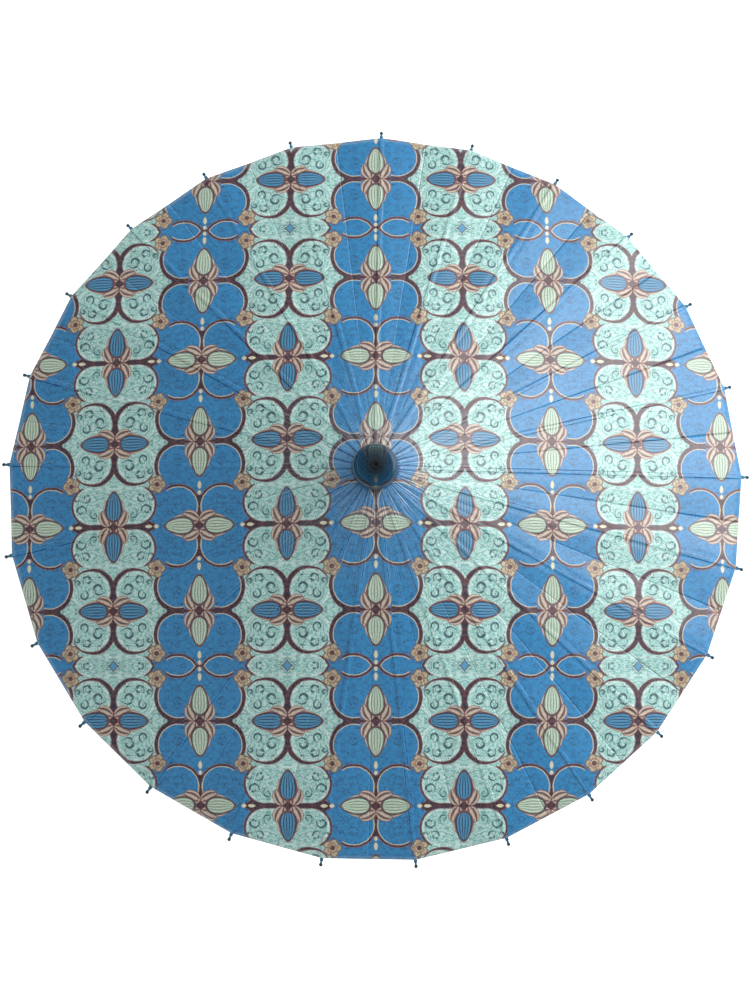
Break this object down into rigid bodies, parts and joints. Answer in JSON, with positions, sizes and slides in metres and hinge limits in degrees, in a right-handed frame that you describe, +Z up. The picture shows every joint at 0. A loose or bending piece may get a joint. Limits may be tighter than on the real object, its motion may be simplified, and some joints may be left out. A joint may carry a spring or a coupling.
{
  "type": "oil paper umbrella",
  "caption": "Open oil paper umbrella: a printed paper canopy on hinged bamboo ribs, with stretchers, a sliding runner, a spring catch, a turned cap and a straight handle.",
  "frame": {"origin": "centre of the flat bottom face of the handle", "axes": "+Z up the shaft, from the handle to the cap; +X towards the side of the shaft that carries the spring catch"},
  "size_m": [0.8383, 0.8376, 0.565],
  "materials": {
    "canopy_paper": "oiled paper, block print in blue and mint, satin sheen",
    "rib_bamboo": "split bamboo, planed, painted tips",
    "stretcher_bamboo": "split bamboo, planed",
    "shaft_bamboo": "round bamboo with nodes, varnished",
    "hub_wood": "turned wood, oiled",
    "runner_wood": "turned wood, oiled",
    "handle_wood": "turned wood, varnished",
    "catch_bamboo": "bamboo leaf",
    "cap_lacquer": "turned wood under printed, lacquered paper",
    "thread": "waxed cotton thread"
  },
  "bodies": {
    "frame": {"shaft": "shaft_bamboo", "upper_hub": "hub_wood", "finial_cap": "cap_lacquer", "handle": "handle_wood", "canopy": "canopy_paper", "hub_thread": "thread", "joint_thread": "thread"},
    "runner": {"runner": "runner_wood", "runner_thread": "thread"},
    "catch": {"spring_catch": "catch_bamboo"},
    "rib_01": {"rib_01": "rib_bamboo"},
    "stretcher_01": {"stretcher_01": "stretcher_bamboo"},
    "rib_02": {"rib_02": "rib_bamboo"},
    "stretcher_02": {"stretcher_02": "stretcher_bamboo"},
    "rib_03": {"rib_03": "rib_bamboo"},
    "stretcher_03": {"stretcher_03": "stretcher_bamboo"},
    "rib_04": {"rib_04": "rib_bamboo"},
    "stretcher_04": {"stretcher_04": "stretcher_bamboo"},
    "rib_05": {"rib_05": "rib_bamboo"},
    "stretcher_05": {"stretcher_05": "stretcher_bamboo"},
    "rib_06": {"rib_06": "rib_bamboo"},
    "stretcher_06": {"stretcher_06": "stretcher_bamboo"},
    "rib_07": {"rib_07": "rib_bamboo"},
    "stretcher_07": {"stretcher_07": "stretcher_bamboo"},
    "rib_08": {"rib_08": "rib_bamboo"},
    "stretcher_08": {"stretcher_08": "stretcher_bamboo"},
    "rib_09": {"rib_09": "rib_bamboo"},
    "stretcher_09": {"stretcher_09": "stretcher_bamboo"},
    "rib_10": {"rib_10": "rib_bamboo"},
    "stretcher_10": {"stretcher_10": "stretcher_bamboo"},
    "rib_11": {"rib_11": "rib_bamboo"},
    "stretcher_11": {"stretcher_11": "stretcher_bamboo"},
    "rib_12": {"rib_12": "rib_bamboo"},
    "stretcher_12": {"stretcher_12": "stretcher_bamboo"},
    "rib_13": {"rib_13": "rib_bamboo"},
    "stretcher_13": {"stretcher_13": "stretcher_bamboo"},
    "rib_14": {"rib_14": "rib_bamboo"},
    "stretcher_14": {"stretcher_14": "stretcher_bamboo"},
    "rib_15": {"rib_15": "rib_bamboo"},
    "stretcher_15": {"stretcher_15": "stretcher_bamboo"},
    "rib_16": {"rib_16": "rib_bamboo"},
    "stretcher_16": {"stretcher_16": "stretcher_bamboo"},
    "rib_17": {"rib_17": "rib_bamboo"},
    "stretcher_17": {"stretcher_17": "stretcher_bamboo"},
    "rib_18": {"rib_18": "rib_bamboo"},
    "stretcher_18": {"stretcher_18": "stretcher_bamboo"},
    "rib_19": {"rib_19": "rib_bamboo"},
    "stretcher_19": {"stretcher_19": "stretcher_bamboo"},
    "rib_20": {"rib_20": "rib_bamboo"},
    "stretcher_20": {"stretcher_20": "stretcher_bamboo"},
    "rib_21": {"rib_21": "rib_bamboo"},
    "stretcher_21": {"stretcher_21": "stretcher_bamboo"},
    "rib_22": {"rib_22": "rib_bamboo"},
    "stretcher_22": {"stretcher_22": "stretcher_bamboo"},
    "rib_23": {"rib_23": "rib_bamboo"},
    "stretcher_23": {"stretcher_23": "stretcher_bamboo"},
    "rib_24": {"rib_24": "rib_bamboo"},
    "stretcher_24": {"stretcher_24": "stretcher_bamboo"},
    "rib_25": {"rib_25": "rib_bamboo"},
    "stretcher_25": {"stretcher_25": "stretcher_bamboo"}
  },
  "joints": [
    {"name": "runner_slide", "type": "slide", "parent": "frame", "child": "runner", "axis": [0, 0, -1], "range_m": [0, 0.23765], "deforming": ["canopy", "joint_thread", "runner_thread", "spring_catch"]},
    {"name": "rib_01_hinge", "type": "hinge", "parent": "frame", "child": "rib_01", "pos_m": [0.01998, 0.00091, 0.535], "axis": [-0.0454, 0.999, 0], "range_deg": [0, 68.1]},
    {"name": "stretcher_01_hinge", "type": "hinge", "parent": "rib_01", "child": "stretcher_01", "pos_m": [0.19596, 0.0089, 0.46382], "axis": [-0.0454, 0.999, 0], "range_deg": [-136.2, 0]},
    {"name": "rib_02_hinge", "type": "hinge", "parent": "frame", "child": "rib_02", "pos_m": [0.01913, 0.00585, 0.535], "axis": [-0.2924, 0.9563, 0], "range_deg": [0, 68.1]},
    {"name": "stretcher_02_hinge", "type": "hinge", "parent": "rib_02", "child": "stretcher_02", "pos_m": [0.18759, 0.05735, 0.46382], "axis": [-0.2924, 0.9563, 0], "range_deg": [-136.2, 0]},
    {"name": "rib_03_hinge", "type": "hinge", "parent": "frame", "child": "rib_03", "pos_m": [0.01707, 0.01042, 0.535], "axis": [-0.521, 0.8536, 0], "range_deg": [0, 68.1]},
    {"name": "stretcher_03_hinge", "type": "hinge", "parent": "rib_03", "child": "stretcher_03", "pos_m": [0.16744, 0.1022, 0.46382], "axis": [-0.521, 0.8536, 0], "range_deg": [-136.2, 0]},
    {"name": "rib_04_hinge", "type": "hinge", "parent": "frame", "child": "rib_04", "pos_m": [0.01394, 0.01434, 0.535], "axis": [-0.7169, 0.6972, 0], "range_deg": [0, 68.1]},
    {"name": "stretcher_04_hinge", "type": "hinge", "parent": "rib_04", "child": "stretcher_04", "pos_m": [0.13676, 0.14063, 0.46382], "axis": [-0.7169, 0.6972, 0], "range_deg": [-136.2, 0]},
    {"name": "rib_05_hinge", "type": "hinge", "parent": "frame", "child": "rib_05", "pos_m": [0.00994, 0.01736, 0.535], "axis": [-0.8678, 0.497, 0], "range_deg": [0, 68.1]},
    {"name": "stretcher_05_hinge", "type": "hinge", "parent": "rib_05", "child": "stretcher_05", "pos_m": [0.09749, 0.17023, 0.46382], "axis": [-0.8678, 0.497, 0], "range_deg": [-136.2, 0]},
    {"name": "rib_06_hinge", "type": "hinge", "parent": "frame", "child": "rib_06", "pos_m": [0.00531, 0.01928, 0.535], "axis": [-0.9641, 0.2656, 0], "range_deg": [0, 68.1]},
    {"name": "stretcher_06_hinge", "type": "hinge", "parent": "rib_06", "child": "stretcher_06", "pos_m": [0.05209, 0.18912, 0.46382], "axis": [-0.9641, 0.2656, 0], "range_deg": [-136.2, 0]},
    {"name": "rib_07_hinge", "type": "hinge", "parent": "frame", "child": "rib_07", "pos_m": [0.00035, 0.02, 0.535], "axis": [-0.9998, 0.0175, 0], "range_deg": [0, 68.1]},
    {"name": "stretcher_07_hinge", "type": "hinge", "parent": "rib_07", "child": "stretcher_07", "pos_m": [0.00342, 0.19614, 0.46382], "axis": [-0.9998, 0.0175, 0], "range_deg": [-136.2, 0]},
    {"name": "rib_08_hinge", "type": "hinge", "parent": "frame", "child": "rib_08", "pos_m": [-0.00464, 0.01946, 0.535], "axis": [-0.9728, -0.2317, 0], "range_deg": [0, 68.1]},
    {"name": "stretcher_08_hinge", "type": "hinge", "parent": "rib_08", "child": "stretcher_08", "pos_m": [-0.04546, 0.19082, 0.46382], "axis": [-0.9728, -0.2317, 0], "range_deg": [-136.2, 0]},
    {"name": "rib_09_hinge", "type": "hinge", "parent": "frame", "child": "rib_09", "pos_m": [-0.00933, 0.01769, 0.535], "axis": [-0.8846, -0.4664, 0], "range_deg": [0, 68.1]},
    {"name": "stretcher_09_hinge", "type": "hinge", "parent": "rib_09", "child": "stretcher_09", "pos_m": [-0.09149, 0.17352, 0.46382], "axis": [-0.8846, -0.4664, 0], "range_deg": [-136.2, 0]},
    {"name": "rib_10_hinge", "type": "hinge", "parent": "frame", "child": "rib_10", "pos_m": [-0.01343, 0.01482, 0.535], "axis": [-0.7408, -0.6717, 0], "range_deg": [0, 68.1]},
    {"name": "stretcher_10_hinge", "type": "hinge", "parent": "rib_10", "child": "stretcher_10", "pos_m": [-0.13177, 0.14532, 0.46382], "axis": [-0.7408, -0.6717, 0], "range_deg": [-136.2, 0]},
    {"name": "rib_11_hinge", "type": "hinge", "parent": "frame", "child": "rib_11", "pos_m": [-0.0167, 0.01101, 0.535], "axis": [-0.5505, -0.8348, 0], "range_deg": [0, 68.1]},
    {"name": "stretcher_11_hinge", "type": "hinge", "parent": "rib_11", "child": "stretcher_11", "pos_m": [-0.16377, 0.10798, 0.46382], "axis": [-0.5505, -0.8348, 0], "range_deg": [-136.2, 0]},
    {"name": "rib_12_hinge", "type": "hinge", "parent": "frame", "child": "rib_12", "pos_m": [-0.01891, 0.00651, 0.535], "axis": [-0.3256, -0.9455, 0], "range_deg": [0, 68.1]},
    {"name": "stretcher_12_hinge", "type": "hinge", "parent": "rib_12", "child": "stretcher_12", "pos_m": [-0.18548, 0.06387, 0.46382], "axis": [-0.3256, -0.9455, 0], "range_deg": [-136.2, 0]},
    {"name": "rib_13_hinge", "type": "hinge", "parent": "frame", "child": "rib_13", "pos_m": [-0.01994, 0.0016, 0.535], "axis": [-0.0802, -0.9968, 0], "range_deg": [0, 68.1]},
    {"name": "stretcher_13_hinge", "type": "hinge", "parent": "rib_13", "child": "stretcher_13", "pos_m": [-0.19553, 0.01573, 0.46382], "axis": [-0.0802, -0.9968, 0], "range_deg": [-136.2, 0]},
    {"name": "rib_14_hinge", "type": "hinge", "parent": "frame", "child": "rib_14", "pos_m": [-0.01971, -0.0034, 0.535], "axis": [0.1702, -0.9854, 0], "range_deg": [0, 68.1]},
    {"name": "stretcher_14_hinge", "type": "hinge", "parent": "rib_14", "child": "stretcher_14", "pos_m": [-0.1933, -0.03339, 0.46382], "axis": [0.1702, -0.9854, 0], "range_deg": [-136.2, 0]},
    {"name": "rib_15_hinge", "type": "hinge", "parent": "frame", "child": "rib_15", "pos_m": [-0.01824, -0.0082, 0.535], "axis": [0.4099, -0.9121, 0], "range_deg": [0, 68.1]},
    {"name": "stretcher_15_hinge", "type": "hinge", "parent": "rib_15", "child": "stretcher_15", "pos_m": [-0.17893, -0.08041, 0.46382], "axis": [0.4099, -0.9121, 0], "range_deg": [-136.2, 0]},
    {"name": "rib_16_hinge", "type": "hinge", "parent": "frame", "child": "rib_16", "pos_m": [-0.01563, -0.01248, 0.535], "axis": [0.6239, -0.7815, 0], "range_deg": [0, 68.1]},
    {"name": "stretcher_16_hinge", "type": "hinge", "parent": "rib_16", "child": "stretcher_16", "pos_m": [-0.15331, -0.12238, 0.46382], "axis": [0.6239, -0.7815, 0], "range_deg": [-136.2, 0]},
    {"name": "rib_17_hinge", "type": "hinge", "parent": "frame", "child": "rib_17", "pos_m": [-0.01204, -0.01597, 0.535], "axis": [0.7986, -0.6018, 0], "range_deg": [0, 68.1]},
    {"name": "stretcher_17_hinge", "type": "hinge", "parent": "rib_17", "child": "stretcher_17", "pos_m": [-0.11805, -0.15666, 0.46382], "axis": [0.7986, -0.6018, 0], "range_deg": [-136.2, 0]},
    {"name": "rib_18_hinge", "type": "hinge", "parent": "frame", "child": "rib_18", "pos_m": [-0.00769, -0.01846, 0.535], "axis": [0.9232, -0.3843, 0], "range_deg": [0, 68.1]},
    {"name": "stretcher_18_hinge", "type": "hinge", "parent": "rib_18", "child": "stretcher_18", "pos_m": [-0.07539, -0.1811, 0.46382], "axis": [0.9232, -0.3843, 0], "range_deg": [-136.2, 0]},
    {"name": "rib_19_hinge", "type": "hinge", "parent": "frame", "child": "rib_19", "pos_m": [-0.00285, -0.0198, 0.535], "axis": [0.9898, -0.1426, 0], "range_deg": [0, 68.1]},
    {"name": "stretcher_19_hinge", "type": "hinge", "parent": "rib_19", "child": "stretcher_19", "pos_m": [-0.02798, -0.19416, 0.46382], "axis": [0.9898, -0.1426, 0], "range_deg": [-136.2, 0]},
    {"name": "rib_20_hinge", "type": "hinge", "parent": "frame", "child": "rib_20", "pos_m": [0.00216, -0.01988, 0.535], "axis": [0.9942, 0.108, 0], "range_deg": [0, 68.1]},
    {"name": "stretcher_20_hinge", "type": "hinge", "parent": "rib_20", "child": "stretcher_20", "pos_m": [0.02119, -0.19502, 0.46382], "axis": [0.9942, 0.108, 0], "range_deg": [-136.2, 0]},
    {"name": "rib_21_hinge", "type": "hinge", "parent": "frame", "child": "rib_21", "pos_m": [0.00704, -0.01872, 0.535], "axis": [0.9361, 0.3518, 0], "range_deg": [0, 68.1]},
    {"name": "stretcher_21_hinge", "type": "hinge", "parent": "rib_21", "child": "stretcher_21", "pos_m": [0.06902, -0.18362, 0.46382], "axis": [0.9361, 0.3518, 0], "range_deg": [-136.2, 0]},
    {"name": "rib_22_hinge", "type": "hinge", "parent": "frame", "child": "rib_22", "pos_m": [0.01147, -0.01638, 0.535], "axis": [0.8192, 0.5736, 0], "range_deg": [0, 68.1]},
    {"name": "stretcher_22_hinge", "type": "hinge", "parent": "rib_22", "child": "stretcher_22", "pos_m": [0.11252, -0.16069, 0.46382], "axis": [0.8192, 0.5736, 0], "range_deg": [-136.2, 0]},
    {"name": "rib_23_hinge", "type": "hinge", "parent": "frame", "child": "rib_23", "pos_m": [0.01519, -0.01302, 0.535], "axis": [0.6508, 0.7593, 0], "range_deg": [0, 68.1]},
    {"name": "stretcher_23_hinge", "type": "hinge", "parent": "rib_23", "child": "stretcher_23", "pos_m": [0.14894, -0.12766, 0.46382], "axis": [0.6508, 0.7593, 0], "range_deg": [-136.2, 0]},
    {"name": "rib_24_hinge", "type": "hinge", "parent": "frame", "child": "rib_24", "pos_m": [0.01795, -0.00883, 0.535], "axis": [0.4415, 0.8973, 0], "range_deg": [0, 68.1]},
    {"name": "stretcher_24_hinge", "type": "hinge", "parent": "rib_24", "child": "stretcher_24", "pos_m": [0.17601, -0.08661, 0.46382], "axis": [0.4415, 0.8973, 0], "range_deg": [-136.2, 0]},
    {"name": "rib_25_hinge", "type": "hinge", "parent": "frame", "child": "rib_25", "pos_m": [0.01958, -0.00409, 0.535], "axis": [0.2045, 0.9789, 0], "range_deg": [0, 68.1]},
    {"name": "stretcher_25_hinge", "type": "hinge", "parent": "rib_25", "child": "stretcher_25", "pos_m": [0.19202, -0.04011, 0.46382], "axis": [0.2045, 0.9789, 0], "range_deg": [-136.2, 0]},
    {"name": "catch_press", "type": "hinge", "parent": "frame", "child": "catch", "pos_m": [0.0036, 0, 0.30575], "axis": [0, -1, 0], "range_deg": [0, 4.5], "stiffness_Nm_per_rad": 0.5}
  ],
  "couplings": [
    {"joint": "rib_01_hinge", "follows": "runner_slide", "rad_per_m": 4.994},
    {"joint": "stretcher_01_hinge", "follows": "runner_slide", "rad_per_m": -9.988},
    {"joint": "rib_02_hinge", "follows": "runner_slide", "rad_per_m": 4.994},
    {"joint": "stretcher_02_hinge", "follows": "runner_slide", "rad_per_m": -9.988},
    {"joint": "rib_03_hinge", "follows": "runner_slide", "rad_per_m": 4.994},
    {"joint": "stretcher_03_hinge", "follows": "runner_slide", "rad_per_m": -9.988},
    {"joint": "rib_04_hinge", "follows": "runner_slide", "rad_per_m": 4.994},
    {"joint": "stretcher_04_hinge", "follows": "runner_slide", "rad_per_m": -9.988},
    {"joint": "rib_05_hinge", "follows": "runner_slide", "rad_per_m": 4.994},
    {"joint": "stretcher_05_hinge", "follows": "runner_slide", "rad_per_m": -9.988},
    {"joint": "rib_06_hinge", "follows": "runner_slide", "rad_per_m": 4.994},
    {"joint": "stretcher_06_hinge", "follows": "runner_slide", "rad_per_m": -9.988},
    {"joint": "rib_07_hinge", "follows": "runner_slide", "rad_per_m": 4.994},
    {"joint": "stretcher_07_hinge", "follows": "runner_slide", "rad_per_m": -9.988},
    {"joint": "rib_08_hinge", "follows": "runner_slide", "rad_per_m": 4.994},
    {"joint": "stretcher_08_hinge", "follows": "runner_slide", "rad_per_m": -9.988},
    {"joint": "rib_09_hinge", "follows": "runner_slide", "rad_per_m": 4.994},
    {"joint": "stretcher_09_hinge", "follows": "runner_slide", "rad_per_m": -9.988},
    {"joint": "rib_10_hinge", "follows": "runner_slide", "rad_per_m": 4.994},
    {"joint": "stretcher_10_hinge", "follows": "runner_slide", "rad_per_m": -9.988},
    {"joint": "rib_11_hinge", "follows": "runner_slide", "rad_per_m": 4.994},
    {"joint": "stretcher_11_hinge", "follows": "runner_slide", "rad_per_m": -9.988},
    {"joint": "rib_12_hinge", "follows": "runner_slide", "rad_per_m": 4.994},
    {"joint": "stretcher_12_hinge", "follows": "runner_slide", "rad_per_m": -9.988},
    {"joint": "rib_13_hinge", "follows": "runner_slide", "rad_per_m": 4.994},
    {"joint": "stretcher_13_hinge", "follows": "runner_slide", "rad_per_m": -9.988},
    {"joint": "rib_14_hinge", "follows": "runner_slide", "rad_per_m": 4.994},
    {"joint": "stretcher_14_hinge", "follows": "runner_slide", "rad_per_m": -9.988},
    {"joint": "rib_15_hinge", "follows": "runner_slide", "rad_per_m": 4.994},
    {"joint": "stretcher_15_hinge", "follows": "runner_slide", "rad_per_m": -9.988},
    {"joint": "rib_16_hinge", "follows": "runner_slide", "rad_per_m": 4.994},
    {"joint": "stretcher_16_hinge", "follows": "runner_slide", "rad_per_m": -9.988},
    {"joint": "rib_17_hinge", "follows": "runner_slide", "rad_per_m": 4.994},
    {"joint": "stretcher_17_hinge", "follows": "runner_slide", "rad_per_m": -9.988},
    {"joint": "rib_18_hinge", "follows": "runner_slide", "rad_per_m": 4.994},
    {"joint": "stretcher_18_hinge", "follows": "runner_slide", "rad_per_m": -9.988},
    {"joint": "rib_19_hinge", "follows": "runner_slide", "rad_per_m": 4.994},
    {"joint": "stretcher_19_hinge", "follows": "runner_slide", "rad_per_m": -9.988},
    {"joint": "rib_20_hinge", "follows": "runner_slide", "rad_per_m": 4.994},
    {"joint": "stretcher_20_hinge", "follows": "runner_slide", "rad_per_m": -9.988},
    {"joint": "rib_21_hinge", "follows": "runner_slide", "rad_per_m": 4.994},
    {"joint": "stretcher_21_hinge", "follows": "runner_slide", "rad_per_m": -9.988},
    {"joint": "rib_22_hinge", "follows": "runner_slide", "rad_per_m": 4.994},
    {"joint": "stretcher_22_hinge", "follows": "runner_slide", "rad_per_m": -9.988},
    {"joint": "rib_23_hinge", "follows": "runner_slide", "rad_per_m": 4.994},
    {"joint": "stretcher_23_hinge", "follows": "runner_slide", "rad_per_m": -9.988},
    {"joint": "rib_24_hinge", "follows": "runner_slide", "rad_per_m": 4.994},
    {"joint": "stretcher_24_hinge", "follows": "runner_slide", "rad_per_m": -9.988},
    {"joint": "rib_25_hinge", "follows": "runner_slide", "rad_per_m": 4.994},
    {"joint": "stretcher_25_hinge", "follows": "runner_slide", "rad_per_m": -9.988}
  ]
}
